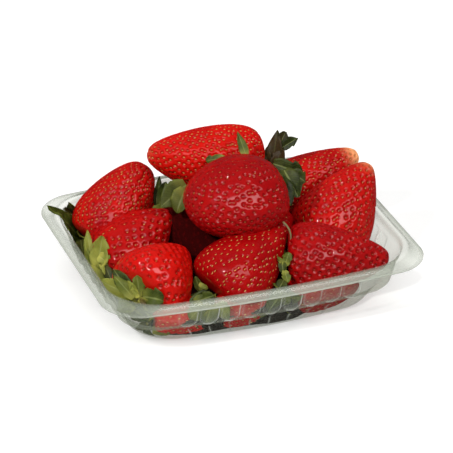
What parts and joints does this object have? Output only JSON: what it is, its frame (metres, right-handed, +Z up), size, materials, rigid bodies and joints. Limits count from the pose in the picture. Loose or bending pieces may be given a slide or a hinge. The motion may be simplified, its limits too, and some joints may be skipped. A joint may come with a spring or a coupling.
{
  "type": "punnet of strawberries",
  "caption": "Shallow clear plastic tray with a flat rim, fluted walls and an open top, heaped with whole strawberries that keep their green leaves.",
  "frame": {"origin": "middle of the tray's floor, on the surface it stands on", "axes": "+X along the tray's long side, +Y across it towards the back, +Z up"},
  "size_m": [0.16, 0.136, 0.0654],
  "materials": {
    "clear_plastic": "clear, glossy, faintly green-grey",
    "strawberry": "glossy red fruit with yellow seeds in small pits",
    "leaf": "green leaves with paler undersides"
  },
  "bodies": {
    "root": {"tray": "clear_plastic", "strawberries": "strawberry"}
  },
  "joints": []
}
